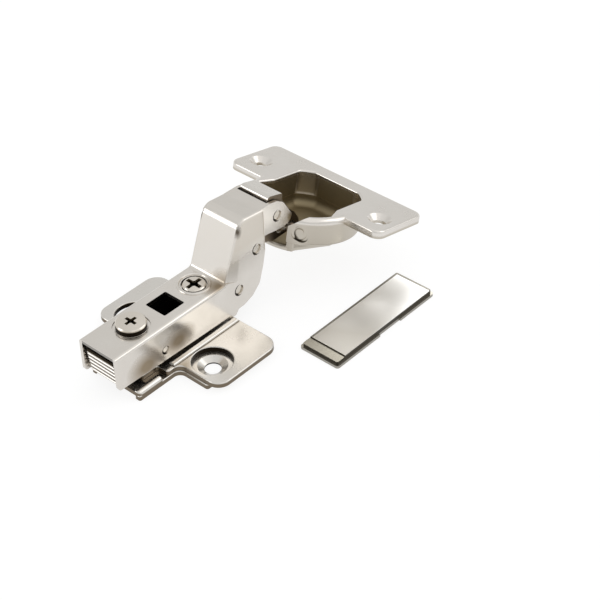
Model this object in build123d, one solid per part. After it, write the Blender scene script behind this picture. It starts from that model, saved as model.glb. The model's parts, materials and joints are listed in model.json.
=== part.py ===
from build123d import *
import math
import os

# Concealed cup hinge, drawn open.  Millimetres.
# X runs along the arm towards the cup, Y across the arm, Z up from the cabinet side.
# The origin is midway between the two plate screws, on the underside of the base plate.

# ---------------------------------------------------------------- driving dimensions
# widths that the others follow
ARM_HALF = 7.4                # half width of the arm
NOSE_HALF = ARM_HALF - 0.5
CAR_HALF = ARM_HALF - 1.5     # carriage inside the arm
CAR_SHEET = 1.2
HAT_HALF = CAR_HALF - 1.4     # hat inside the carriage
GAP_HALF = NOSE_HALF + 0.4    # slot in the cup for the arm

# mounting plates
SCREW_PITCH = 32.0            # between the two plate screws, along Y
SCREW_HOLE_R = 2.5
BASE_SHEET = 1.6
BASE_HALF_WIDTH = 21.0
BASE_STRIP_HALF = ARM_HALF + 2.5
BASE_REAR, BASE_FRONT = -22.9, 16.5
RAIL_INNER = ARM_HALF + 0.3   # raised rails each side of the rear strip
RAIL_TOP = 2.9
RAIL_FRONT = -12.2
ARCH_FRONT = -18.4            # rear end of the strip, arched clear of the cabinet
WING_GAP = 0.1                # running gap between the two plates
WING_SHEET = 1.6
WING_HALF_WIDTH = 25.5
WING_REAR, WING_FRONT = -7.0, 18.2
WING_STRIP_HALF = ARM_HALF + 2.4
WING_STRIP_REAR = -11.6
TONGUE_HALF, TONGUE_REAR = 5.5, -17.9
WINDOW_R = 6.1                # window round each plate screw
HEIGHT_TRAVEL = 1.8           # each way, along Y

# hat pressed up from the wing plate, and the eccentric that moves it
HAT_SHEET = 1.4
HAT_TOP = 8.8
HAT_LIP_TOP = 7.0
HAT_REAR, HAT_FRONT = -11.0, 11.0
CAM_X = -1.6
CAM_THROW = 2.3
CAM_PIN_R = 1.2
GUIDE_X = (14.5, -14.7)

# carriage that clips over the hat
CAR_TOP = 14.6
CAR_REAR, CAR_FRONT = -21.0, 13.0
AXLE_XZ = (10.0, 6.5)
LEVER_XZ = (-17.5, 10.5)
SMALL_PIN_R = 1.25
TILT_XZ = (-9.4, 8.7)
DEPTH_BACK, DEPTH_FORWARD = 3.0, 1.0

# hinge arm
ARM_SHEET = 1.1
ARM_BEND = 0.9                # outside radius along the top edges
ARM_TOP = 16.8
ARM_REAR = -27.8
FOOT_Z = 3.6                  # little foot of the side wall, just above the wing plate
NOSE_X = 32.4
RISER_FOOT = (15.45, 16.8)
RISER_HEAD = (22.75, 35.0)
PANEL_END = (35.4, 33.56)
DEPTH_SCREW_X = -14.8
SIDE_SCREW_X = 10.0

# four-bar linkage, open
P1 = (38.7, 28.3)             # outer link on the arm
P2 = (29.0, 22.0)             # inner link on the arm
P3 = (20.9, 11.8)             # damper rivet
RIVET_R = 1.6
PIN_A_R = 1.3
PIN_B_R = 1.4

# cup, in its own (u, w): u along the arm from its centre, w up from the top of its flange
CUP_R = 17.5
CUP_DEPTH = 8.8
CUP_TILT = 13.0               # degrees the cup leans forward when open
CUP_RIM_XZ = (41.6025, 25.9866)   # top of the drum on the arm's side
PIN_A = (7.48 - CUP_R, -8.21)     # outer cup pin
PIN_B = (4.79 - CUP_R, -4.92)     # inner cup pin
COLLAR_R = CUP_R + 0.12       # drum collar, level with the flange
MOUTH_R = CUP_R - 2.3
MOUTH_FAR = CUP_R - 2.9
MOUTH_HALF = CUP_R - 5.0
POCKET_R = CUP_R - 0.4
POCKET_DEPTH = 12.3
POCKET_FLOOR = 11.2
FLANGE_HALF = CUP_R + 12.6
FLANGE_REAR, FLANGE_FRONT = -1.94, CUP_R + 2.4
FLANGE_SHEET = 1.2
FLANGE_DROP = 2.5
CUP_SCREW_U = 6.0
CUP_SCREW_PITCH = 48.0

FIT = 0.05                    # running fit of a pin in its hole
SEAT = 0.02                   # a fixed pin in its hole

BASE = (Align.CENTER, Align.CENTER, Align.MIN)   # stands on its own foot



def cup_to_arm(uw):
    """A point of the cup's (u, w) plane in the common (x, z) plane."""
    t = math.radians(CUP_TILT)
    u, w = uw[0] + CUP_R, uw[1]
    x = CUP_RIM_XZ[0] + u * math.cos(t) + w * math.sin(t)
    z = CUP_RIM_XZ[1] - u * math.sin(t) + w * math.cos(t)
    return (x, z)


CUP_CENTRE = cup_to_arm((0, 0))
CUP_AT = Location((CUP_CENTRE[0], 0, CUP_CENTRE[1]), (0, CUP_TILT, 0))
A = cup_to_arm(PIN_A)
B = cup_to_arm(PIN_B)


# ---------------------------------------------------------------- small helpers
def outline(points):
    """Closed face from (a, b, corner radius) points."""
    face = make_face(Polyline(*[(a, b) for a, b, _ in points], close=True))
    for a, b, r in points:
        if r:
            corner = face.vertices().sort_by_distance((a, b, 0))[0]
            face = fillet(corner, r)
    return face


def across(face, y0, y1):
    """Extrude an (x, z) face from y0 to y1."""
    return extrude(Plane.XZ.offset(-y1) * face, amount=y1 - y0)


def upward(face, z0, z1):
    """Extrude an (x, y) face from z0 to z1."""
    return extrude(Plane.XY.offset(z0) * face, amount=z1 - z0)


def cross_pin(xz, radius, y0, y1):
    """Plain round pin lying along Y."""
    return across(Pos(*xz) * Circle(radius), y0, y1)


def mirrored(part):
    """The part together with its twin on the other side of the middle plane."""
    return part + mirror(part, about=Plane.XZ)


def plan_slot(x0, x1, half, z0, z1):
    """Round-ended slot along X, between the two end centres."""
    face = Pos((x0 + x1) / 2, 0) * SlotCenterToCenter(max(x1 - x0, 0.01), 2 * half)
    return upward(face, z0, z1)


def dome_pin(xz, radius, half):
    """Rivet along Y whose two ends are gently domed."""
    pin = cross_pin(xz, radius, -half, half)
    return fillet(pin.edges().filter_by(GeomType.CIRCLE), 0.35)


def cross_recess(x, top, span, depth, blade_width):
    """Cutter for a tapered four-wing driver recess."""
    blade = Pos(x, 0, top - depth) * Box(span * 0.6, blade_width * 0.8, depth, align=BASE)
    wide = Pos(x, 0, top - depth * 0.48) * Box(span, blade_width, depth, align=BASE)
    both = blade + wide
    turned = Pos(x, 0, 0) * Rot(0, 0, 90) * Pos(-x, 0, 0) * both
    core = Pos(x, 0, top - depth * 0.8) * Cylinder(span * 0.22, depth, align=BASE)
    return both + turned + core


# ---------------------------------------------------------------- plates
def base_plate():
    half = [
        (BASE_REAR, 0, 0), (BASE_REAR, BASE_STRIP_HALF, 0.6), (-7.3, BASE_STRIP_HALF, 2.2),
        (-7.3, BASE_HALF_WIDTH, 0.8), (13.5, BASE_HALF_WIDTH, 3.5),
        (13.5, BASE_STRIP_HALF, 1.4), (BASE_FRONT, BASE_STRIP_HALF, 1.4), (BASE_FRONT, 0, 0),
    ]
    plate = mirrored(upward(outline(half), 0, BASE_SHEET))
    plate = fillet(plate.edges().filter_by(Plane.XY).group_by(Axis.Z)[-1], 0.3)
    plate += mirrored(rear_rail()) + rear_arch()
    plate -= Pos(BASE_REAR - 1, 0, -1) * Box(
        ARCH_FRONT - BASE_REAR, 16.4, 2.2, align=(Align.MIN, Align.CENTER, Align.MIN))
    for y in (-SCREW_PITCH / 2, SCREW_PITCH / 2):
        seat = Plane.XZ * make_face(Polyline(
            (0, -1), (SCREW_HOLE_R, -1), (SCREW_HOLE_R, 0.45), (4.5, BASE_SHEET + 0.02),
            (4.5, 3), (0, 3), close=True))
        plate -= Pos(0, y, 0) * revolve(seat, Axis.Z)
    throw_low = CAM_THROW * math.cos(math.radians(50))
    plate -= plan_slot(CAM_X + throw_low - 0.1, CAM_X + CAM_THROW + 0.1, CAM_PIN_R + 0.1, -1, 3)
    for x in GUIDE_X:
        plate -= Pos(x, 0, 0) * Cylinder(1.5 + SEAT, 8)
    return plate


def rear_rail():
    """Rounded rail along one side of the base plate's rear strip."""
    side = outline([
        (BASE_REAR, 0, 0), (BASE_REAR, RAIL_TOP, 0.4), (RAIL_FRONT - 1.6, RAIL_TOP, 1.0),
        (RAIL_FRONT, 0.6, 0), (RAIL_FRONT, 0, 0),
    ])
    rail = across(side, RAIL_INNER, BASE_STRIP_HALF)
    crest = rail.edges().filter_by(Axis.X).group_by(Axis.Z)[-1]
    outer = crest.sort_by(Axis.Y)[-1]
    rail = fillet(outer, 1.3)
    inner = rail.edges().filter_by(Axis.X).group_by(Axis.Z)[-1].sort_by(Axis.Y)[0]
    return fillet(inner, 0.5)


def rear_arch():
    """Raised web that joins the two rails at the rear end."""
    web = Pos(BASE_REAR, 0, 1.2) * Box(
        ARCH_FRONT - BASE_REAR, 2 * RAIL_INNER + 1.0, 1.4,
        align=(Align.MIN, Align.CENTER, Align.MIN))
    return web


def wing_outline():
    """Half of the wing plate in plan."""
    return outline([
        (TONGUE_REAR, 0, 0), (TONGUE_REAR, TONGUE_HALF, 1.0),
        (WING_STRIP_REAR, TONGUE_HALF, 0.8), (WING_STRIP_REAR, WING_STRIP_HALF, 1.0),
        (WING_REAR, WING_STRIP_HALF, 2.2), (WING_REAR, WING_HALF_WIDTH, 4.0),
        (WING_FRONT, WING_HALF_WIDTH, 4.6), (WING_FRONT, 0, 0),
    ])


def hat_profile(shrink, foot):
    """Side outline of the hat, or of its hollow when shrunk by the sheet."""
    s = shrink
    top, lip = HAT_TOP - s, HAT_LIP_TOP - s
    return outline([
        (HAT_REAR, foot, 0), (HAT_REAR, lip, 0), (-6.9 + 0.3 * s, lip, 0.8),
        (-6.3 + 0.3 * s, top, 0.6), (HAT_FRONT, top, 0), (HAT_FRONT, foot, 0),
    ])


def wing_plate():
    z0 = BASE_SHEET + WING_GAP
    z1 = z0 + WING_SHEET
    plate = mirrored(upward(wing_outline(), z0, z1))
    plate = fillet(plate.edges().filter_by(Plane.XY).group_by(Axis.Z)[-1], 0.35)
    for y in (-SCREW_PITCH / 2, SCREW_PITCH / 2):
        plate -= Pos(0, y, z0) * Cylinder(WINDOW_R, 8)
    rims = plate.edges().filter_by(GeomType.CIRCLE).filter_by(
        lambda e: abs(e.radius - WINDOW_R) < 0.01).group_by(Axis.Z)[-1]
    plate = fillet(rims, 0.3)
    bead = Pos(WING_REAR - 2.0, ARM_HALF + 0.2, z1 - 0.4) * Box(
        WING_FRONT - WING_REAR + 1.6, 2.1, 1.2, align=Align.MIN)
    bead = fillet(bead.edges().group_by(Axis.Z)[-1], 0.7)
    plate += mirrored(bead)
    hat = across(hat_profile(0, z0 + 0.4), -HAT_HALF, HAT_HALF)
    crown = hat.edges().filter_by(Axis.X).group_by(Axis.Z)[-1]
    hat = fillet(crown, 0.9)
    plate += hat
    inner = HAT_HALF - HAT_SHEET
    plate -= across(hat_profile(HAT_SHEET, z0 - 1), -inner, inner)
    plate -= Pos(HAT_REAR - 1, 0, z1) * Box(
        1.8, 12, 6.0 - z1, align=(Align.MIN, Align.CENTER, Align.MIN))
    notch = Pos(AXLE_XZ[0], 0, AXLE_XZ[1]) * Box(
        4, 12, 2 * SMALL_PIN_R + 2 * SEAT, align=(Align.MIN, Align.CENTER, Align.CENTER))
    plate -= notch + cross_pin(AXLE_XZ, SMALL_PIN_R + SEAT, -6, 6)
    plate -= Pos(CAM_X, 0, HAT_TOP) * Cylinder(2.5 + FIT, 5)
    for x in GUIDE_X:
        reach = HEIGHT_TRAVEL + 0.1
        slot = Pos(x, 0) * Rot(0, 0, 90) * SlotCenterToCenter(2 * reach, 2 * (1.5 + FIT))
        plate -= upward(slot, z0 - 1, z1 + 1)
    return plate


def guide_rivet(x):
    top = BASE_SHEET + WING_GAP + WING_SHEET + 0.12
    profile = Plane.XZ * make_face(Polyline(
        (0, 0.05), (1.5, 0.05), (1.5, top), (2.6, top), (2.6, top + 0.45),
        (2.0, top + 0.95), (0, top + 0.95), close=True))
    return Pos(x, 0, 0) * revolve(profile, Axis.Z)


def height_cam():
    disc_z = HAT_TOP + FIT
    profile = Plane.XZ * make_face(Polyline(
        (0, 6.2), (2.8, 6.2), (2.8, HAT_TOP - HAT_SHEET - FIT),
        (2.5, HAT_TOP - HAT_SHEET - FIT), (2.5, disc_z), (3.8, disc_z),
        (3.8, disc_z + 0.8), (3.4, disc_z + 1.2), (0, disc_z + 1.2), close=True))
    cam = Pos(CAM_X, 0, 0) * revolve(profile, Axis.Z)
    cam += Pos(CAM_X + CAM_THROW, 0, 0.3) * Cylinder(
        CAM_PIN_R, 6.4, align=(Align.CENTER, Align.CENTER, Align.MIN))
    cam = cam & (Pos(CAM_X, 0, 5) * Box(7.6, 7.6, 20))
    return cam - cross_recess(CAM_X, disc_z + 1.25, 4.6, 1.7, 0.9)


# ---------------------------------------------------------------- carriage and lever
def clip_carriage():
    floor_z = BASE_SHEET + WING_GAP + WING_SHEET
    side = outline([
        (CAR_REAR, 8.2, 0.8), (CAR_REAR, CAR_TOP, 0), (CAR_FRONT, CAR_TOP, 0),
        (CAR_FRONT, 4.9, 0.8), (7.0, 4.9, 0.5), (6.2, floor_z, 0), (-5.6, floor_z, 0),
        (-6.4, 4.9, 0.5), (-13.0, 5.2, 0.8), (-16.0, 7.6, 0.8),
    ])
    body = across(side, -CAR_HALF, CAR_HALF)
    shoulders = body.edges().filter_by(Axis.X).group_by(Axis.Z)[-1]
    body = fillet(shoulders, 1.4)
    inner = CAR_HALF - CAR_SHEET
    hollow = Pos(0, 0, 0) * Box(
        80, 2 * inner, CAR_TOP - CAR_SHEET, align=(Align.CENTER, Align.CENTER, Align.MIN))
    body -= hollow
    window = Pos(-1.6, 0) * RectangleRounded(10.4, 8.0, 1.6)
    body -= upward(window, 10, 20)
    body -= plan_slot(SIDE_SCREW_X - DEPTH_BACK, SIDE_SCREW_X + 8, 1.8, 10, 20)
    body -= Pos(DEPTH_SCREW_X, 0, CAR_TOP) * Cylinder(2.0 + SEAT, 8)
    body -= cross_pin(AXLE_XZ, SMALL_PIN_R + SEAT, -8, 8)
    body -= cross_pin(LEVER_XZ, SMALL_PIN_R + SEAT, -8, 8)
    travel = Pos(TILT_XZ[0] - (DEPTH_BACK - DEPTH_FORWARD) / 2, TILT_XZ[1]) * \
        SlotCenterToCenter(DEPTH_BACK + DEPTH_FORWARD, 2 * (SMALL_PIN_R + FIT))
    body -= across(travel, -8, 8)
    return body


def front_axle():
    return dome_pin(AXLE_XZ, SMALL_PIN_R, CAR_HALF)


def lever_pin():
    return dome_pin(LEVER_XZ, SMALL_PIN_R, CAR_HALF)


def release_lever():
    cheek = outline([
        (-25.8, 5.6, 0), (-25.8, 12.6, 0), (-16.0, 12.5, 1.2), (-14.9, 9.6, 0.6),
        (-14.0, 7.15, 0.3), (-11.25, 7.15, 0.3), (-11.25, 5.85, 0.2), (-10.4, 5.85, 0),
        (-10.4, 5.0, 0.3), (-13.5, 5.0, 0.8), (-16.6, 7.2, 1.5), (-22.0, 7.6, 2.0),
    ])
    half = CAR_HALF - CAR_SHEET - 0.3
    lever = mirrored(across(cheek, half - 1.4, half))
    lever += Pos(-23.5, 0, 11.4) * Box(5.2, 2 * half, 1.2, align=BASE)
    lever += Pos(-14.25, 0, 5.5) * Box(1.0, 2 * half - 0.8, 1.5, align=BASE)
    face = outline([(-24.9, 5.3, 0.3), (-26.0, 5.3, 0.3), (-26.9, 13.4, 0.5), (-24.9, 13.4, 0.5)])
    wide = ARM_HALF - 1.9
    lever += across(face, -wide, wide)
    count = 10
    for i in range(count):
        z = 5.95 + i * 0.76
        x = -26.05 - (z - 5.3) * 0.111
        lever += across(Pos(x, z) * Circle(0.34), -wide + 0.2, wide - 0.2)
    return lever - cross_pin(LEVER_XZ, SMALL_PIN_R + FIT, -8, 8)


def whole_pitch(height, pitch):
    """The pitch nearest to this one that gives a whole number of turns."""
    return height / max(1, round(height / pitch))


def coil(xz, radius, wire, pitch, half):
    """Coil along Y; it starts and ends on the +X side."""
    path = Helix(pitch=pitch, height=2 * (half - wire), radius=radius)
    ring = Plane(origin=path @ 0, z_dir=path % 0) * Circle(wire)
    spring = sweep(ring, path=path)
    return Pos(xz[0], -(half - wire), xz[1]) * Rot(-90, 0, 0) * spring


def leg(start, end, y, wire):
    """Straight round wire between two (x, z) points at one y."""
    a = Vector(start[0], y, start[1])
    b = Vector(end[0], y, end[1])
    rod = Plane(origin=a, z_dir=b - a) * Cylinder(
        wire, (b - a).length, align=(Align.CENTER, Align.CENTER, Align.MIN))
    return rod + Pos(*tuple(a)) * Sphere(wire) + Pos(*tuple(b)) * Sphere(wire)


def lever_spring():
    x, z = LEVER_XZ
    half = CAR_HALF - CAR_SHEET - 2.1
    last = half - 0.3
    pitch = whole_pitch(2 * last, 1.15)
    spring = coil(LEVER_XZ, 1.8, 0.3, pitch, half)
    spring += leg((x - 1.8, z), (x - 2.6, 13.08), pitch / 2 - last, 0.3)
    spring += leg((x + 1.8, z), (x + 1.6, 7.6), last - 0.1, 0.3)
    return spring


# ---------------------------------------------------------------- arm
def arm_body():
    """Arm channel before its holes: outer form less its inside."""
    main = outline([
        (ARM_REAR, 5.6, 1.0), (ARM_REAR, ARM_TOP, 0), (*RISER_FOOT, 1.3), (*RISER_HEAD, 3.6),
        (NOSE_X, 33.9, 0), (NOSE_X, 19.9, 0), (31.25, 14.9, 3.0), (29.4, 9.4, 2.5),
        (26.2, 6.5, 2.0), (22.4, 5.2, 2.0), (20.2, 5.2, 0.8), (18.9, FOOT_Z, 0.4),
        (16.6, FOOT_Z, 0.4), (16.2, 4.6, 0.3),
    ])
    body = across(main, -ARM_HALF, ARM_HALF)
    bends = body.edges().filter_by(
        lambda e: abs(abs(e.center().Y) - ARM_HALF) < 0.01
        and (e.center().Z > 16.0) and (e.center().X < 31.5)
        and not (e.center().X < ARM_REAR + 0.5))
    body = fillet(bends, ARM_BEND)
    nose = outline([
        (31.0, 34.06, 0), (36.2, 33.9, 1.5), (38.9, 33.3, 2.0), (41.4, 31.5, 2.0),
        (45.1, 25.2, 1.4), (43.2, 23.5, 1.2), (40.8, 23.0, 1.5), (37.3, 23.5, 1.5),
        (34.3, 24.1, 1.5), (31.0, 24.2, 0),
    ])
    body += across(nose, -NOSE_HALF, NOSE_HALF)
    t = ARM_SHEET
    slope = (RISER_HEAD[0] - RISER_FOOT[0]) / (RISER_HEAD[1] - RISER_FOOT[1])
    foot_x = RISER_FOOT[0] + 0.676 * t
    head_z = 34.9 - t
    head_x = foot_x + (head_z - ARM_TOP + t) * slope
    hollow = outline([
        (ARM_REAR - 2, -5, 0), (ARM_REAR - 2, ARM_TOP - t, 0), (foot_x, ARM_TOP - t, 2.6),
        (head_x, head_z, 2.4), (NOSE_X - 0.5, 33.96 - t, 0), (NOSE_X - 0.5, -5, 0),
    ])
    body -= across(hollow, -(ARM_HALF - t), ARM_HALF - t)
    throat = outline([
        (28.0, -5, 0), (28.0, 34.4 - t, 0), (PANEL_END[0], PANEL_END[1] - t, 0),
        (PANEL_END[0], 40, 0), (50, 40, 0), (50, -5, 0),
    ])
    body -= across(throat, -(NOSE_HALF - t), NOSE_HALF - t)
    return body


def riser_facet():
    """Shallow facet pressed into the side wall beside the riser."""
    corner = Vector(23.2, ARM_HALF, 33.0)
    low = Vector(20.2, ARM_HALF, 15.2)
    edge = Vector(15.5, ARM_HALF - 0.45, 17.2)
    normal = (low - corner).cross(edge - corner).normalized()
    if normal.Y < 0:
        normal = normal * -1
    beyond = Plane(origin=corner, z_dir=normal) * Box(
        80, 80, 3, align=(Align.CENTER, Align.CENTER, Align.MIN))
    region = outline([(14.9, 17.2, 0), (22.9, 36.0, 0), (23.3, 33.0, 0), (20.2, 15.2, 0)])
    return beyond & across(region, ARM_HALF - 1.0, ARM_HALF + 1.0)


def riser_dimple():
    """Pinched corner at the top of the riser."""
    axis = Plane(origin=(20.7, ARM_HALF + 0.1, 30.3), z_dir=(0.372, 0, 0.928))
    return axis * Cone(0.05, 1.25, 3.4, align=(Align.CENTER, Align.CENTER, Align.MIN))


def hinge_arm():
    body = arm_body()
    t = ARM_SHEET
    body -= mirrored(riser_facet()) + mirrored(riser_dimple())
    ring = Pos(SIDE_SCREW_X, 0, ARM_TOP) * Torus(4.7, 0.42)
    body += ring & (Pos(SIDE_SCREW_X, 0, ARM_TOP - 0.3) * Box(
        14, 14, 2, align=(Align.CENTER, Align.CENTER, Align.MIN)))
    seam = Pos(NOSE_X - 0.35, 0, 20) * Box(
        0.35, 20, 20, align=(Align.CENTER, Align.CENTER, Align.MIN))
    body -= mirrored(seam & (Pos(0, ARM_HALF - 0.15, 0) * Box(
        100, 5, 68, align=(Align.CENTER, Align.MIN, Align.CENTER))))
    groove = Pos(DEPTH_SCREW_X, 0, ARM_TOP - 0.35) * (Cylinder(5.5, 0.8, align=BASE)
                                                      - Cylinder(4.75, 0.8, align=BASE))
    body -= groove
    body -= plan_slot(-15.9, -11.7, 2.2, ARM_TOP - t - 1, ARM_TOP + 2)
    body -= upward(Pos(-1.65, 0) * RectangleRounded(7.9, 7.8, 0.5), ARM_TOP - t - 1, ARM_TOP + 1)
    body -= Pos(SIDE_SCREW_X, 0, ARM_TOP) * Cylinder(2.2 + FIT, 8)
    body -= Pos(SIDE_SCREW_X, 0, ARM_TOP - 0.75) * Cylinder(3.9, 3, align=BASE)
    body -= cross_pin(TILT_XZ, SMALL_PIN_R + FIT, -9, 9)
    for xz in (P1, P2, P3):
        body -= cross_pin(xz, RIVET_R + SEAT, -9, 9)
    return body


def tilt_pin():
    return dome_pin(TILT_XZ, SMALL_PIN_R, ARM_HALF - 0.35)


def depth_screw():
    z = ARM_TOP + 0.1
    profile = Plane.XZ * make_face(Polyline(
        (0, 12.8), (1.6, 12.8), (2.0, 13.2), (2.0, z), (4.5, z), (4.5, z + 1.55),
        (4.2, z + 1.85), (0, z + 1.95), close=True))
    screw = Pos(DEPTH_SCREW_X, 0, 0) * revolve(profile, Axis.Z)
    return screw - cross_recess(DEPTH_SCREW_X, z + 2.0, 4.0, 1.9, 1.0)


def side_screw():
    under = CAR_TOP - CAR_SHEET
    profile = Plane.XZ * make_face(Polyline(
        (0, 11.4), (2.5, 11.4), (2.9, 11.8), (2.9, under - 0.8), (1.5, under - 0.8),
        (1.5, CAR_TOP + 0.25), (2.2, CAR_TOP + 0.25), (2.2, ARM_TOP - 0.7),
        (3.5, ARM_TOP - 0.7), (3.5, ARM_TOP - 0.05), (3.2, ARM_TOP + 0.25),
        (0, ARM_TOP + 0.3), close=True))
    screw = Pos(SIDE_SCREW_X, 0, 0) * revolve(profile, Axis.Z)
    return screw - cross_recess(SIDE_SCREW_X, ARM_TOP + 0.35, 5.4, 1.8, 1.3)


# ---------------------------------------------------------------- linkage
def outer_rivet():
    return dome_pin(P1, RIVET_R, NOSE_HALF - 0.45)


def inner_rivet():
    return dome_pin(P2, RIVET_R, ARM_HALF - 0.45)


def damper_rivet():
    return dome_pin(P3, RIVET_R, ARM_HALF - 0.45)


def outer_link():
    ax, az = A
    px, pz = P1
    plate = outline([
        (px - 2.2, pz + 6.6, 0.8), (px - 1.1, pz + 6.65, 0.8), (px + 4.0, pz + 5.1, 0.5),
        (px + 3.7, pz + 2.9, 0.8), (px + 6.7, pz - 2.1, 2.0), (px + 8.8, pz - 4.2, 1.5),
        (ax + 2.15, az + 4.6, 2.0), (ax + 2.3, az + 0.3, 1.8), (ax + 1.45, az - 2.4, 1.2),
        (ax, az - 2.4, 0.8), (ax - 2.1, az - 1.2, 0.5), (ax - 1.9, az + 1.3, 0.8),
        (ax + 0.1, az + 2.6, 0.5), (ax + 0.4, az + 4.4, 1.0), (ax - 1.2, az + 6.0, 1.5),
        (px + 3.9, pz - 4.4, 1.5), (px - 1.7, pz - 3.4, 2.4), (px - 3.4, pz + 0.3, 2.0),
    ])
    wide = NOSE_HALF - 1.5
    link = across(plate, -wide, wide)
    hollow = outline([
        (px - 8.7, pz + 5.3, 0), (px - 1.3, pz + 5.4, 0), (px + 4.1, pz + 3.8, 0),
        (px + 21.3, pz + 3.8, 0), (px + 21.3, pz - 23.3, 0), (px - 8.7, pz - 23.3, 0),
    ])
    link -= across(hollow, 1.2 - wide, wide - 1.2)
    link -= cross_pin(P1, RIVET_R + FIT, -8, 8)
    link -= cross_pin(A, PIN_A_R + FIT, -8, 8)
    return link


def inner_link():
    px, pz = P2
    bx, bz = B
    slot_back = 2.1
    strap = outline([
        (px - 1.5, pz + 2.2, 1.0), (px + 4.0, pz + 1.4, 3.0), (bx - 5.0, bz + 3.1, 1.5),
        (bx + 2.6, bz + 3.1, 2.3), (bx + 2.9, bz - 3.1, 2.3), (bx - 5.0, bz - 3.1, 1.5),
        (px + 5.0, pz - 2.8, 2.0), (px - 1.5, pz - 2.4, 1.0),
    ])
    wide = NOSE_HALF - 3.3
    link = across(strap, -wide, wide)
    hollow = outline([
        (px + 3.9, pz + 6, 0), (bx + 9, bz + 6, 0), (bx + 9, bz - 9, 0),
        (bx - 5.6, bz - 9, 0), (bx - 5.6, bz - 1.6, 0), (px + 3.9, pz - 1.2, 0),
    ])
    link -= across(hollow, 1.4 - wide, wide - 1.4)
    link += cross_pin(P2, 2.9, -wide - 2.2, wide + 2.2)
    finger_angle = -58.0 + 13.9
    finger = Pos(px, pz) * Rot(0, 0, finger_angle) * Pos(3.2, 0.9) * Rectangle(6.4, 1.8)
    link += across(finger, -1.6, 1.6)
    link -= cross_pin(P2, RIVET_R + FIT, -8, 8)
    eye = Pos(bx - slot_back / 2, bz) * SlotCenterToCenter(slot_back, 2 * (PIN_B_R + 0.5))
    link -= across(eye, -8, 8)
    return link


DAMPER_DIR = (0.8486, 0.5291)


def damper_body():
    axis = Plane(origin=(P3[0], 0, P3[1]), z_dir=(DAMPER_DIR[0], 0, DAMPER_DIR[1]))
    profile = Plane.XZ * make_face(Polyline(
        (0, 0), (2.6, 0), (2.6, 7.9), (2.2, 8.4), (0, 8.4), close=True))
    body = axis * revolve(profile, Axis.Z)
    half = ARM_HALF - ARM_SHEET - 0.3
    body += cross_pin(P3, 2.7, -half, half)
    bore = Pos(0, 0, 2.4) * Cylinder(1.1 + FIT, 10, align=(Align.CENTER, Align.CENTER, Align.MIN))
    body -= axis * bore
    return body - cross_pin(P3, RIVET_R + SEAT, -8, 8)


def damper_rod():
    axis = Plane(origin=(P3[0], 0, P3[1]), z_dir=(DAMPER_DIR[0], 0, DAMPER_DIR[1]))
    profile = Plane.XZ * make_face(Polyline(
        (0, 4.8), (1.1, 4.8), (1.1, 12.4), (0.8, 12.9), (0, 13.05), close=True))
    return axis * revolve(profile, Axis.Z)


def closing_spring():
    x, z = P1
    half = NOSE_HALF - 3.0
    last = half - 0.5
    pitch = whole_pitch(2 * last, 1.36)
    spring = coil(P1, 2.45, 0.5, pitch, half)
    spring += leg((x - 2.45, z), (x - 8.3, z + 3.9), pitch / 2 - last, 0.5)
    spring += leg((x, z - 2.45), (x - 9.1, z - 2.68), last - 0.75 * pitch, 0.5)
    return spring


# ---------------------------------------------------------------- cup
def mouth():
    """Opening of the cup seen square on: round towards the arm, straight-sided beyond."""
    turn_u = -0.342 * MOUTH_R
    turn_v = math.sqrt(MOUTH_R ** 2 - turn_u ** 2)
    rear = Circle(MOUTH_R) & (Pos(turn_u - 20, 0) * Rectangle(40, 60))
    front = outline([
        (turn_u, -turn_v, 0), (-0.5, -MOUTH_HALF, 2.0), (MOUTH_FAR, -MOUTH_HALF, 0),
        (MOUTH_FAR, MOUTH_HALF, 0), (-0.5, MOUTH_HALF, 2.0), (turn_u, turn_v, 0),
    ]) & Circle(CUP_R - 0.6)
    corners = [v for v in front.vertices() if v.X > 5]
    return rear + fillet(corners, 2.0)


def pocket(near_v, half_v, far_u, radius, z0, z1, bottom):
    """Deeper middle of the cup: tapers towards the arm, rounded along its bottom."""
    near_u = -CUP_R - 0.5
    face = make_face(Polyline(
        (near_u, -near_v), (-1.5, -half_v), (far_u, -half_v), (far_u, half_v),
        (-1.5, half_v), (near_u, near_v), close=True)) & Circle(radius)
    face = fillet(face.vertices(), bottom + 0.2)
    solid = upward(face, z0, z1)
    return fillet(solid.edges().group_by(Axis.Z)[0], bottom)


def cup_flange():
    half = 2 * FLANGE_HALF
    middle = (FLANGE_REAR + FLANGE_FRONT) / 2
    plate = upward(Pos(middle, 0) * RectangleRounded(FLANGE_FRONT - FLANGE_REAR, half, 3.0),
                   -FLANGE_DROP, 0)
    plate = fillet(plate.edges().filter_by(Plane.XY).group_by(Axis.Z)[-1], 0.8)
    under = Pos(middle, 0) * RectangleRounded(
        FLANGE_FRONT - FLANGE_REAR - 2.2, half - 2.2, 2.2)
    return plate - upward(under, -FLANGE_DROP - 1, -FLANGE_SHEET)


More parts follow.
